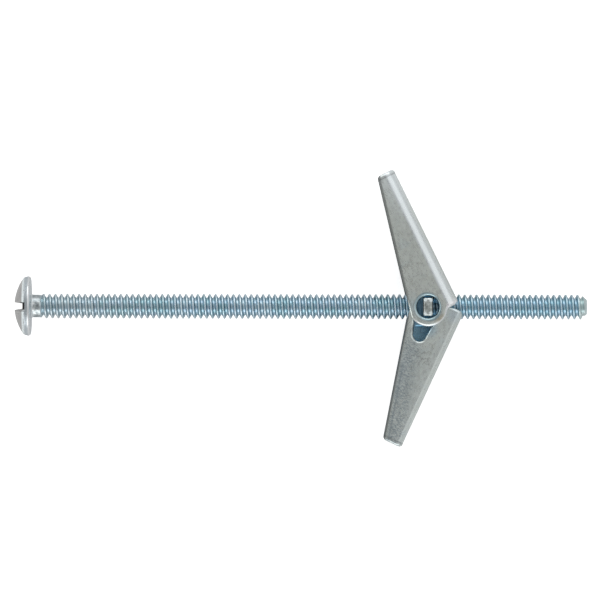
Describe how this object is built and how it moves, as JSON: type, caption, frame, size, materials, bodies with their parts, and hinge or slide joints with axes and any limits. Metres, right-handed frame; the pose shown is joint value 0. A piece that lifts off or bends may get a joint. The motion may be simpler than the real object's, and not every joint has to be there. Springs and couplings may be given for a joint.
{
  "type": "spring toggle bolt",
  "caption": "Spring toggle bolt: a slotted truss-head machine screw with a trunnion nut and sprung folding sheet-metal wings that clamp behind a hollow wall",
  "frame": {"origin": "centre of the flat bearing face under the screw's head, on the screw's axis", "axes": "+X runs down the screw to its tip, +Z is the wings' hinge axis and points up from the surface that the bolt lies on, and the wings spread along Y"},
  "size_m": [0.0766, 0.037, 0.008],
  "materials": {
    "screw_zinc": "bright blue zinc plate",
    "nut_zinc": "zinc plate",
    "wing_zinc": "satin zinc plate on rolled sheet",
    "spring_wire": "plated music wire"
  },
  "bodies": {
    "screw": {"screw": "screw_zinc"},
    "nut": {"trunnion_nut": "nut_zinc", "torsion_spring": "spring_wire"},
    "wing_a": {"wing_a": "wing_zinc"},
    "wing_b": {"wing_b": "wing_zinc"}
  },
  "joints": [
    {"name": "nut_travel", "type": "slide", "parent": "screw", "child": "nut", "axis": [1, 0, 0], "range_m": [-0.0334, 0.023]},
    {"name": "wing_a_fold", "type": "hinge", "parent": "nut", "child": "wing_a", "pos_m": [0.05305, 0, 0], "axis": [0, 0, 1], "range_deg": [0, 64], "stiffness_Nm_per_rad": 0.004, "springref_deg": -34.38, "deforming": ["torsion_spring"]},
    {"name": "wing_b_fold", "type": "hinge", "parent": "nut", "child": "wing_b", "pos_m": [0.05305, 0, 0], "axis": [0, 0, -1], "range_deg": [0, 65], "stiffness_Nm_per_rad": 0.004, "springref_deg": -34.38, "deforming": ["torsion_spring"]}
  ]
}
